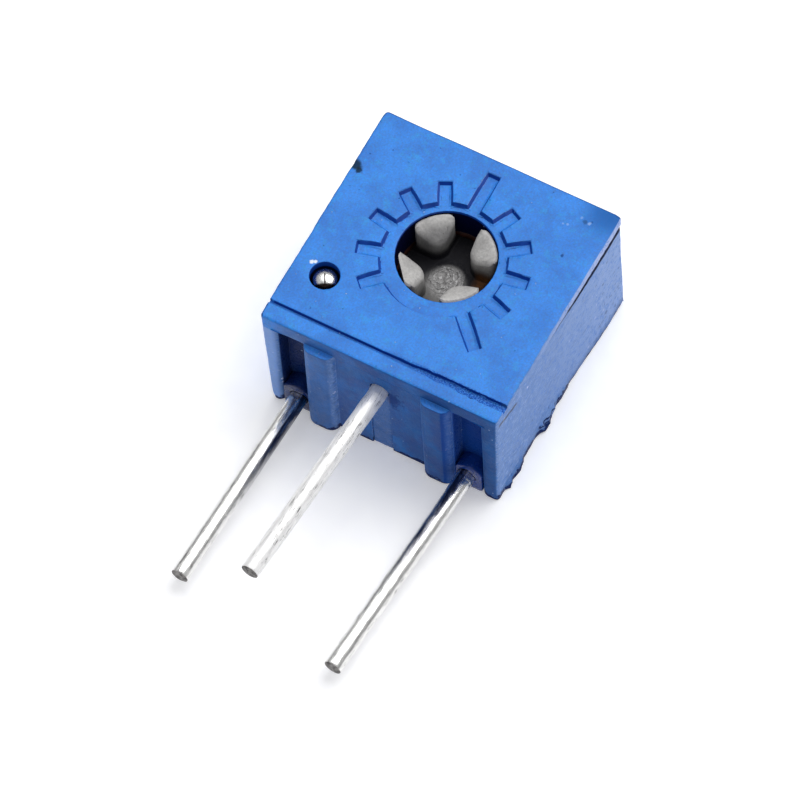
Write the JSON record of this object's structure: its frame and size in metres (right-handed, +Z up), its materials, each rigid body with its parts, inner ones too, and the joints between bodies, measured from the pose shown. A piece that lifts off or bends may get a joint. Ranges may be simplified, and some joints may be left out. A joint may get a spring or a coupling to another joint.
{
  "type": "trimmer potentiometer",
  "caption": "Square moulded trimmer potentiometer with a cross-slotted rotor in a recessed dial face, standoff ribs and straight wire leads out of one side.",
  "frame": {"origin": "on the base plane, under the rotor's axis", "axes": "+Z up the rotor's axis and out of the dial face; -Y the way the leads point; lead 1 is on the -X side and lead 3 on the +X side"},
  "size_m": [0.007, 0.0136, 0.0044],
  "materials": {
    "housing_blue": "moulded, fine matt",
    "rotor_grey": "moulded, satin",
    "seal_rubber": "smooth",
    "contact_metal": "bright rolled strip",
    "ceramic": "fired ceramic",
    "cermet_film": "fired film",
    "conductor_film": "fired silver film",
    "lead_tin": "bright tinned copper",
    "solder": "satin solder",
    "potting_blue": "cured resin"
  },
  "bodies": {
    "case": {"housing": "housing_blue", "substrate": "ceramic", "resistive_track": "cermet_film", "collector_track": "conductor_film", "termination_pad_1": "conductor_film", "termination_pad_3": "conductor_film", "lead_1": "lead_tin", "lead_2": "lead_tin", "lead_3": "lead_tin", "solder_joint_1": "solder", "solder_joint_2": "solder", "solder_joint_3": "solder", "potting": "potting_blue"},
    "rotor": {"rotor": "rotor_grey", "rotor_seal": "seal_rubber", "wiper_contact": "contact_metal"}
  },
  "joints": [
    {"name": "rotor_turn", "type": "hinge", "parent": "case", "child": "rotor", "pos_m": [0, 0, 0.003], "axis": [0, 0, 1], "range_deg": [-135, 135]}
  ]
}
